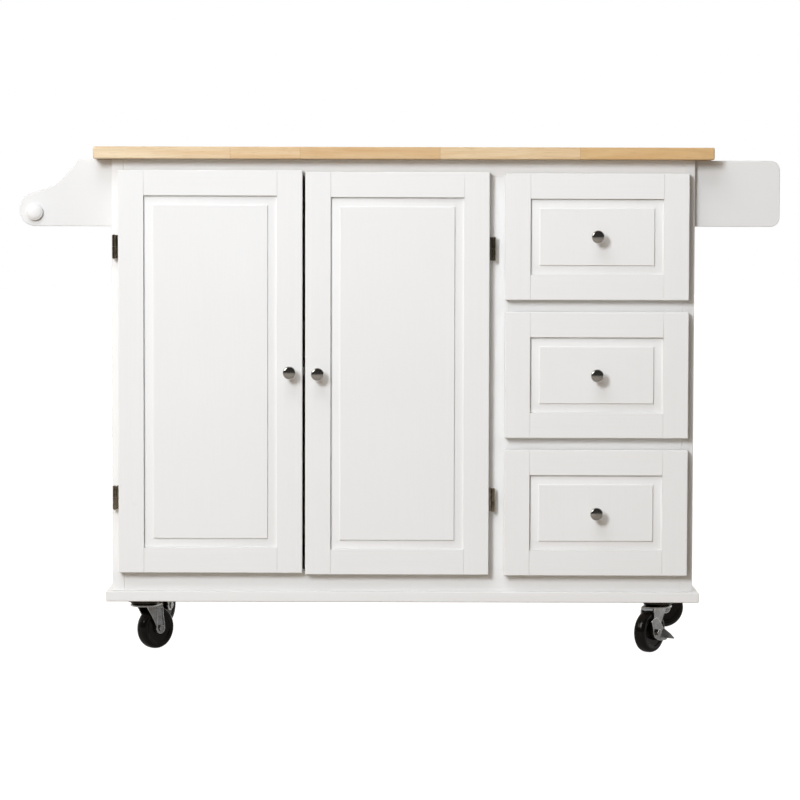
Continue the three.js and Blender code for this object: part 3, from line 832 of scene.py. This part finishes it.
# ------ drawers
BOX_WALL = 12 * MM
BOX_GAP = 0.12 * MM
BOX_ROUND, BASE_ROUND = 1.4 * MM, 0.4 * MM
BOX_BASE = (8 * MM, 14 * MM)
RUNNER_H = 45 * MM
RUNNER_WALL = 1.2 * MM
RUNNER_LIP = 3.2 * MM
RUNNER_DROP = 20 * MM
RUNNER_FRONT, RUNNER_BACK, RUNNER_STEP = 6 * MM, 4 * MM, 2 * MM
BRACKET_HALF, BRACKET_T = 12 * MM, 1.6 * MM
BRACKET_FRONT, BRACKET_BACK = 0.2 * MM, 0.3 * MM
# how far the fixed rail and the narrower sliding one reach from their backs
FIXED_DEPTH, SLIDING_DEPTH = 11.4 * MM, 10.6 * MM
SLIDING_MARGIN = 6 * MM
RAIL_GAP, BOX_RAIL_GAP = 0.3 * MM, 0.1 * MM


def build_drawer(level):
    body = f"{level}_drawer"
    lo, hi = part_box(f"{level}_drawer_front")
    build_framed_front(f"{level}_front", lo, hi, body, [f"{level}_drawer_front"])
    build_knob(f"{level}_drawer_pull", f"{level}_drawer_knob", body)
    node, t = f"{level}_drawer_box", BOX_WALL
    lo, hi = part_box(node)
    low, high = (lo.z + z for z in BOX_BASE)
    x0, x1 = lo.x + t + BOX_GAP, hi.x - t - BOX_GAP
    boards = {
        "side_left": (Y, (lo.x, lo.y, lo.z), (lo.x + t, hi.y, hi.z)),
        "side_right": (Y, (hi.x - t, lo.y, lo.z), (hi.x, hi.y, hi.z)),
        "end_front": (X, (x0, lo.y, lo.z), (x1, lo.y + t, hi.z)),
        "end_back": (X, (x0, hi.y - t, lo.z), (x1, hi.y, hi.z)),
        "base": (X, (x0, lo.y + t + BOX_GAP, low), (x1, hi.y - t - BOX_GAP, high)),
    }
    for name, (axis, a, b) in boards.items():
        bm = soften(cuboid(a, b), BASE_ROUND if name == "base" else BOX_ROUND, 3)
        piece(f"{level}_box_{name}", bm, BIRCH[axis], body, [node])
    build_runners(level, body, lo, hi, (lo.z + hi.z) / 2 - RUNNER_DROP)


def channel(x_back, way, depth, half, y0, y1, z, bm):
    """A C-shaped rail along y. Its web stands at x_back and its lips point along way."""
    lip, t = RUNNER_LIP, RUNNER_WALL
    points = [
        (0, -half), (depth, -half), (depth, -half + lip), (depth - t, -half + lip),
        (depth - t, -half + t), (t, -half + t), (t, half - t), (depth - t, half - t),
        (depth - t, half - lip), (depth, half - lip), (depth, half), (0, half),
    ]
    section = [(x_back + way * u, z + v) for u, v in points]
    return prism(section, y0, y1, Y, bm=bm)


def build_runners(level, body, lo, hi, z):
    """A ball runner on each side: the fixed rail on the cabinet, the sliding one on the box."""
    y0, y1 = lo.y + RUNNER_FRONT, hi.y - RUNNER_BACK
    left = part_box("face_centre_stile")[1].x + RAIL_GAP
    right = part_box("right_side_panel")[0].x - RAIL_GAP
    moving, fixed = mesh_bm(), mesh_bm()
    half, inner = RUNNER_H / 2, RUNNER_H / 2 - SLIDING_MARGIN
    for x_fixed, way, x_box in ((left, 1, lo.x - BOX_RAIL_GAP), (right, -1, hi.x + BOX_RAIL_GAP)):
        channel(x_fixed, way, FIXED_DEPTH, half, y0, y1, z, fixed)
        channel(x_box, -way, SLIDING_DEPTH, inner, y0 + RUNNER_STEP, y1, z, moving)
    # the divider stands clear of the left rail, so a bracket on the back panel carries it
    back_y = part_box("back_panel")[0].y - BRACKET_BACK
    start = (left, y1 + BRACKET_FRONT, z - BRACKET_HALF)
    cuboid(start, (left + BRACKET_T, back_y, z + BRACKET_HALF), fixed)
    piece(f"{level}_runners_fixed", fixed, DULL_ZINC, "cabinet")
    piece(f"{level}_runners_sliding", moving, DULL_ZINC, body)


# ------ towel rack and spice rack
ARM_ROUND = 1.5 * MM
ROD_ROUND = 0.8 * MM
ROD_BORE = 11.3 * MM
SPICE_CORNER = 17 * MM
# the arm's free edge, in mm from its tip and top: where it starts, then cubic curves, each as
# the number of steps drawn, two handles and its end
ARM_START = (107.2, 0)
ARM_CURVES = (
    (14, (87, -24), (75, -48), (32, -57)),
    (10, (18, -60), (0, -68), (0, -90)),
    (10, (0, -107.5), (13, -120), (28.5, -120)),
)
CAP_PROFILE = (
    (0, 0), (14.6, 0), (15.0, 0.4), (15.0, 5.6), (14.7, 6.3), (13.9, 6.8), (12.9, 6.9),
    (12.5, 7.5), (11.2, 8.6), (9.2, 9.5), (6.6, 10.2), (3.4, 10.6), (0, 10.7),
)


def build_towel_rack():
    for end in ("front", "rear"):
        node = f"towel_bracket_{end}"
        lo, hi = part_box(node)
        tip, top = lo.x, hi.z
        outline = [(hi.x, lo.z), (hi.x, top), (tip + ARM_START[0] * MM, top + ARM_START[1] * MM)]
        for steps, *points in ARM_CURVES:
            placed = [(tip + dx * MM, top + dz * MM) for dx, dz in points]
            outline += curve(outline[-1], *placed, steps)
        x, _, z = front_centre(*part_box("towel_rod"), 0)
        bore = circle(x, z, ROD_BORE, 32)
        bm = prism(outline, lo.y, hi.y, Y, ARM_ROUND, 3, [bore])
        piece(f"towel_rack_arm_{end}", bm, RACK_PAINT_WITH_PAINTED_SHADE, "cabinet", [node], sharp=28)
        cap = f"towel_cap_{end}"
        lo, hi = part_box(cap)
        way, base = (-1, hi.y) if end == "front" else (1, lo.y)
        turned = [(r * MM, way * h * MM) for r, h in CAP_PROFILE]
        bm = lathe(turned, front_centre(lo, hi, base), Y, 40)
        piece(f"towel_rod_button_{end}", bm, PAINT[X], "cabinet", [cap], sharp=40)
    lo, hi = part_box("towel_rod")
    r, length = (hi.x - lo.x) / 2, hi.y - lo.y
    profile = [(0, 0), (r - ROD_ROUND, 0), (r, ROD_ROUND), (r, length - ROD_ROUND),
               (r - ROD_ROUND, length), (0, length)]
    bm = lathe(profile, front_centre(lo, hi, lo.y), Y, 36)
    piece("towel_rail", bm, PAINT[Y], "cabinet", ["towel_rod"])


def build_spice_ends():
    for end in ("front", "rear"):
        node = f"spice_end_{end}"
        lo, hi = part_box(node)
        r = SPICE_CORNER
        outline = [(lo.x, lo.z), *arc(hi.x - r, lo.z + r, r, -90, 0, 8),
                   *arc(hi.x - r, hi.z - r, r, 0, 90, 8), (lo.x, hi.z)]
        bm = prism(outline, lo.y, hi.y, Y, ARM_ROUND, 3)
        piece(f"spice_rack_end_{end}", bm, RACK_PAINT_WITH_PAINTED_SHADE, "cabinet", [node], sharp=28)


# ------ casters
# Lengths in mm. A caster is drawn with its swivel axis at 0, 0 and its wheel along +x.
TRAIL = 26
HUB_Z = 38
YAW = {"front_left": 46, "front_right": 232, "rear_left": 70, "rear_right": 8}
PLATE_HALF, PLATE_CORNER, PLATE_Z = 32, 7, (91.7, 94.7)
SCREW_PITCH, SCREW_HOLE = 23, 3.2
PLATE_SCREW = (
    (0, 89.3), (2.6, 89.5), (4.6, 90.3), (5.4, 91.5), (2.9, 91.5), (2.9, 94.6), (0, 94.6),
)
RACE_PROFILE = (
    (0, 83.5), (20.5, 83.5), (22.4, 83.9), (24.8, 85.2), (25.8, 86.8), (26.0, 88.5),
    (26.0, 91.5), (0, 91.5),
)
RIVET_PROFILE = (
    (0, 77.6), (6.0, 77.7), (8.4, 78.3), (9.0, 79.2), (9.0, 79.7), (6.0, 79.7), (6.0, 83.4),
    (0, 83.4),
)
CROWN_R, CROWN_BORE, CROWN_Z = 26, 6.4, (80, 83.2)
CROWN_END = TRAIL + 7
# the inner and outer faces of the fork's legs
LEG_IN, LEG_OUT = 12.4, 14.8
LEG_OUTLINE = (
    (-8, 81), (-2, 72), (6, 59), (TRAIL - 10, 42), *arc(TRAIL, HUB_Z, 10.5, 166, 365, 18),
    (TRAIL + 8.5, 52), (TRAIL + 6.8, 62), (TRAIL + 5.8, 72), (TRAIL + 5.5, 81),
)
RIB_OUTLINE = (
    *arc(TRAIL, HUB_Z, 9.8, 180, 360, 14), (TRAIL + 8.0, 52), (TRAIL + 6.2, 62),
    (TRAIL + 5.4, 77), (TRAIL - 9.5, 77), (TRAIL - 9.7, 60),
)
RIB_W, RIB_Y = 2.5, (LEG_OUT + 0.05, LEG_OUT + 1.2)
AXLE_R, AXLE_BORE, NUT_R = 4.0, 4.05, 6.4
# where the bolt's head ends, and the nut starts and the bolt ends without and with a brake
HEAD_END = LEG_OUT + 4.2
NUT_SPAN = {False: (LEG_OUT + 0.1, LEG_OUT + 4.8), True: (LEG_OUT + 3.2, LEG_OUT + 8.3)}
WHEEL_SECTION = (
    (11.2, -9.0), (24.6, -9.0), (25.8, -9.7), (26.6, -10.9), (27.6, -11.2), (28.6, -10.7),
    (29.6, -11.2), (32.6, -11.2), (34.2, -10.7), (36.2, -9.0), (37.3, -6.7), (37.85, -3.9),
    (38.0, -0.5), (37.6, 0.0),
)
HUB_SECTION = ((4.3, -11.9), (8.2, -11.9), (9.0, -11.5), (9.4, -10.0), (11.0, -9.5))
BRAKE_OUTLINE = (
    (18.5, 21), (12, 25), (4, 27.5), (-4, 24), (-17, 10), (-28, -4), (-33, -13), (-31, -17),
    (-14, -17), (-4, -15.5), (8, -10), (12, -2), (13.5, 8),
)
# the foot plate's folded edge: x, z and how far it sticks out there
BRAKE_FOOT = ((-20.5, 5.4, 0.4), (-28, -4, 9.4), (-33, -13, 15.5))
BRAKE_Y = (15.1, 17.6)
BRAKE_BORE, BRAKE_CORNER = 4.3, 3
# the foot plate's thickness along x and z, and how deep it starts in the lever
FOOT_STEP, FOOT_START = (2.0, -1.2), 0.3


def scaled(points):
    return [(a * MM, b * MM) for a, b in points]


def mirrored(section):
    """A closed wheel section from the half below the middle plane."""
    half = scaled(section)
    return half + [(r, -h) for r, h in reversed(half) if abs(h) > TINY]


def axle_circle(radius, segments=20):
    return circle(TRAIL * MM, HUB_Z * MM, radius * MM, segments)


def build_caster(corner):
    """The fixed mount, the fork, axle and wheel, and the brake lever where there is one."""
    lo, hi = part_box(f"{corner}_caster_plate")
    centre = (lo + hi) / 2
    at = Matrix.Translation((centre.x, centre.y, 0))
    turned = at @ Matrix.Rotation(math.radians(YAW[corner]), 4, "Z")
    brake = f"{corner}_brake" in frame["bodies"]
    build_mount(corner, at)
    build_fork(corner, turned, brake)
    build_wheel(corner, turned)
    if brake:
        build_brake(corner, turned)


def build_mount(corner, at):
    """The plate under the cabinet with its screws, ball race and rivet."""
    node = f"{corner}_caster_plate"
    half = PLATE_HALF * MM
    square = filleted(rectangle(-half, -half, half, half), PLATE_CORNER * MM)
    spots = scaled((sx * SCREW_PITCH, sy * SCREW_PITCH) for sx in (-1, 1) for sy in (-1, 1))
    holes = [circle(x, y, SCREW_HOLE * MM, 16) for x, y in spots]
    # the plate, screws, race and rivet are in the darkened zinc: painted shade
    bm = prism(square, PLATE_Z[0] * MM, PLATE_Z[1] * MM, Z, 0.5 * MM, 2, holes)
    piece(f"{corner}_mount_plate", bm, ZINC_PAINTED_SHADE, "cabinet", [node], at)
    bm = mesh_bm()
    for x, y in spots:
        lathe(scaled(PLATE_SCREW), (x, y, 0), Z, 18, bm=bm)
    piece(f"{corner}_plate_screws", bm, ZINC_PAINTED_SHADE, "cabinet", (), at)
    rounds = ("ball_race", RACE_PROFILE, 48), ("king_rivet", RIVET_PROFILE, 24)
    for name, profile, steps in rounds:
        bm = lathe(scaled(profile), (0, 0, 0), Z, steps)
        piece(f"{corner}_{name}", bm, ZINC_PAINTED_SHADE, "cabinet", [node], at)


def build_fork(corner, turned, brake):
    """Crown and legs, the pressed ribs on the legs without a lever, and the axle's bolt."""
    nodes = [f"{corner}_caster_fork"]
    body = f"{corner}_swivel"
    end = CROWN_END
    tip = [(end - 6, -LEG_OUT), (end - 1.8, -LEG_OUT + 0.6), (end, -LEG_OUT + 3.5)]
    crown = arc(0, 0, CROWN_R, 54, 306, 24) + tip + [(x, -y) for x, y in reversed(tip)]
    bore = circle(0, 0, CROWN_BORE * MM, 24)
    bm = prism(scaled(crown), CROWN_Z[0] * MM, CROWN_Z[1] * MM, Z, 1.0 * MM, 3, [bore])
    for y0, y1 in scaled(((-LEG_OUT, -LEG_IN), (LEG_IN, LEG_OUT))):
        prism(scaled(LEG_OUTLINE), y0, y1, Y, 0.6 * MM, 2, [axle_circle(AXLE_BORE)], bm)
    piece(f"{corner}_fork", bm, ZINC, body, nodes, turned, sharp=38)
    bm = mesh_bm()
    strap = scaled(RIB_OUTLINE)
    hollow = inset_loop(strap, RIB_W * MM)
    for side in (-1,) if brake else (-1, 1):
        y0, y1 = sorted(side * y * MM for y in RIB_Y)
        prism(strap, y0, y1, Y, 0.5 * MM, 2, [hollow], bm)
    piece(f"{corner}_fork_ribs", bm, ZINC, body, nodes, turned)
    nut, lug = NUT_SPAN[brake]
    shaft = [(0, -HEAD_END - 0.4), (3.2, -HEAD_END - 0.4), (AXLE_R, -HEAD_END + 0.3),
             (AXLE_R, lug - 0.6), (3.4, lug), (0, lug)]
    bm = lathe(scaled(shaft), (TRAIL * MM, 0, HUB_Z * MM), Y, 24)
    for y0, y1 in scaled(((-HEAD_END, -LEG_OUT - 0.1), (nut, lug - 0.6))):
        prism(axle_circle(NUT_R, 6), y0, y1, Y, 0.5 * MM, 2, [axle_circle(AXLE_BORE)], bm)
    piece(f"{corner}_axle_bolt", bm, ZINC, body, nodes, turned)


def build_wheel(corner, turned):
    node = f"{corner}_caster_wheel"
    body = f"{corner}_wheel"
    middle = (TRAIL * MM, 0, HUB_Z * MM)
    bm = lathe(mirrored(WHEEL_SECTION), middle, Y, 64, closed=True)
    piece(f"{corner}_tyre", bm, RUBBER, body, [node], turned, sharp=50)
    bm = lathe(mirrored(HUB_SECTION), middle, Y, 40, closed=True)
    piece(f"{corner}_hub", bm, PLASTIC, body, [node], turned)


def build_brake(corner, turned):
    """A flat lever on the axle and the sloped foot plate that sticks out from it."""
    y0, y1 = BRAKE_Y
    points = scaled((TRAIL + x, HUB_Z + z) for x, z in BRAKE_OUTLINE)
    outline = filleted(points, BRAKE_CORNER * MM)
    bm = prism(outline, y0 * MM, y1 * MM, Y, 0.5 * MM, 2, [axle_circle(BRAKE_BORE)])
    rings = []
    for x, z, out in BRAKE_FOOT:
        near_y, far_y = y0 + FOOT_START, y1 + out
        corners = (0, 0, near_y), (*FOOT_STEP, near_y), (*FOOT_STEP, far_y), (0, 0, far_y)
        rings.append([((TRAIL + x + dx) * MM, y * MM, (HUB_Z + z + dz) * MM)
                      for dx, dz, y in corners])
    foot = soften(loft(rings), 0.4 * MM, 2)
    name = f"{corner}_brake"
    piece(f"{name}_plate", bm, ZINC, name, [f"{name}_lever"], turned, sharp=38)
    piece(f"{name}_pedal", foot, ZINC, name, [f"{name}_lever"], turned, sharp=38)


build_worktop()
build_boards()
build_shelf_pins()
build_doors()
build_catches()
for drawer_level in ("upper", "middle", "lower"):
    build_drawer(drawer_level)
build_towel_rack()
build_spice_ends()
for caster_corner in YAW:
    build_caster(caster_corner)


# ------ floor, light and camera
FLOOR_HALF = 30.0
FLOOR_SHOWN = 0.98
FLOOR_DARK, FLOOR_PALE = (0.150, 0.130, 0.112), (0.165, 0.143, 0.123)
LIGHT_TARGET = Vector((0, -0.2, 0.5))
COOL = (0.96, 1.01, 1.085)
WARM = (1.0, 0.84, 0.66)


def build_floor():
    """A dark plane that shows as white. In reflections it is bright only behind the cart."""
    bm = bmesh.new()
    corners = rectangle(-FLOOR_HALF, -FLOOR_HALF, FLOOR_HALF, FLOOR_HALF)
    bm.faces.new([bm.verts.new((x, y, 0)) for x, y in corners])
    mesh = bpy.data.meshes.new("floor")
    bm.to_mesh(mesh)
    bm.free()
    s = Shader("pale_floor", Emission_Color=(1.0, 1.0, 1.0, 1.0))
    path = s.add("LightPath")
    split = s.add("SeparateXYZ", {0: s.coords})
    reflected = s.ramp(split.outputs[1], -0.2, 0.7, 0.16, 0.90)
    shown = s.add("Mix", {0: path.outputs["Is Glossy Ray"], 2: FLOOR_SHOWN, 3: reflected})
    s.feed(s.bsdf.inputs["Emission Strength"], shown.outputs[0])
    cloud = s.noise(0.8, 2.0)
    tint = s.mix(s.ramp(cloud, 0.3, 0.7), FLOOR_DARK, FLOOR_PALE)
    grain = s.noise(160.0, 2.0)
    s.finish(tint, s.ramp(grain, 0.3, 0.7, 0.7, 0.8), s.bump(grain, 0.0001, 0.2))
    mesh.materials.append(s.material)
    obj = link("floor", mesh)
    obj.visible_diffuse = False


def area_light(name, location, size, power, glint=False, colour=(1.0, 1.0, 1.0)):
    """A soft box of a width and a height that looks at the middle of the cart. A glint shows
    only in reflections, and the others only light what is matt."""
    data = bpy.data.lights.new(name, "AREA")
    data.shape = "RECTANGLE"
    data.size, data.size_y = size
    data.energy = power
    data.color = colour
    obj = link(name, data)
    obj.visible_diffuse = not glint
    obj.visible_glossy = glint
    obj.location = location
    way = Vector(location) - LIGHT_TARGET
    obj.rotation_mode = "QUATERNION"
    obj.rotation_quaternion = way.to_track_quat("Z", "Y")


def build_world(left, right, gloss, colour):
    """A white backdrop. The tinted light it gives fades from left to right. In reflections it
    is dark in front of the cart and bright behind it."""
    world = bpy.data.worlds.new("studio")
    world.use_nodes = True
    tree = world.node_tree
    tree.nodes.clear()

    def add(kind):
        return tree.nodes.new("ShaderNode" + kind)

    def background(level, tone=(1.0, 1.0, 1.0)):
        node = add("Background")
        node.inputs["Color"].default_value = (*tone, 1.0)
        if isinstance(level, bpy.types.NodeSocket):
            tree.links.new(level, node.inputs["Strength"])
        else:
            node.inputs["Strength"].default_value = level
        return node.outputs[0]

    def choose(factor, a, b):
        node = add("MixShader")
        for socket, value in zip(node.inputs, (factor, a, b)):
            tree.links.new(value, socket)
        return node.outputs[0]

    split = add("SeparateXYZ")
    tree.links.new(add("TexCoord").outputs["Generated"], split.inputs[0])

    def ramp(axis, *limits):
        node = add("MapRange")
        tree.links.new(split.outputs[axis], node.inputs[0])
        for k, value in enumerate(limits, 1):
            node.inputs[k].default_value = value
        return node.outputs[0]

    path = add("LightPath")
    lit = background(ramp(X, -1.0, 1.0, left, right), colour)
    reflected = background(ramp(Y, 0.0, 0.4, *gloss))
    shown = choose(path.outputs["Is Glossy Ray"], lit, reflected)
    shown = choose(path.outputs["Is Camera Ray"], shown, background(1.0))
    tree.links.new(shown, add("OutputWorld").inputs[0])
    bpy.context.scene.world = world


CAMERA_LENS = 141.3
CAMERA_DISTANCE = 5.650
CAMERA_HEIGHT = 0.776
CAMERA_X = 0.0077
TILT, PAN, ROLL = math.radians(3.2), math.radians(-0.06), math.radians(0.135)


def build_camera():
    data = bpy.data.cameras.new("camera")
    data.lens = CAMERA_LENS
    data.clip_end = 100.0
    obj = link("camera", data)
    forward = Vector((math.sin(PAN) * math.cos(TILT), math.cos(PAN) * math.cos(TILT),
                      -math.sin(TILT)))
    level = Vector((math.cos(PAN), -math.sin(PAN), 0))
    above = level.cross(forward)
    right = level * math.cos(ROLL) + above * math.sin(ROLL)
    up = above * math.cos(ROLL) - level * math.sin(ROLL)
    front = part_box("left_side_panel")[0].y
    matrix = Matrix((right, up, -forward)).transposed().to_4x4()
    matrix.translation = (CAMERA_X, front - CAMERA_DISTANCE, CAMERA_HEIGHT)
    obj.matrix_world = matrix
    bpy.context.scene.camera = obj


build_floor()
build_world(left=0.60, right=0.02, gloss=(0.04, 0.85), colour=WARM)
area_light("key", (-1.7, -4.4, 2.3), (1.0, 1.3), 152, colour=COOL)
area_light("top", (-0.9, -2.2, 3.6), (2.4, 1.6), 50, colour=COOL)
area_light("fill", (0.2, -5.0, 0.9), (2.2, 2.2), 10, colour=COOL)
area_light("back_right", (4.0, 3.4, 2.0), (2.0, 2.0), 200)
area_light("back_left", (-4.0, 3.4, 2.0), (2.0, 2.0), 115)
area_light("glint", (-3.0, -2.3, 3.0), (2.2, 2.2), 84, glint=True)
area_light("side_glint", (3.2, -0.1, 0.3), (1.2, 1.2), 3, glint=True)
build_camera()
bpy.context.scene.view_settings.view_transform = "Standard"
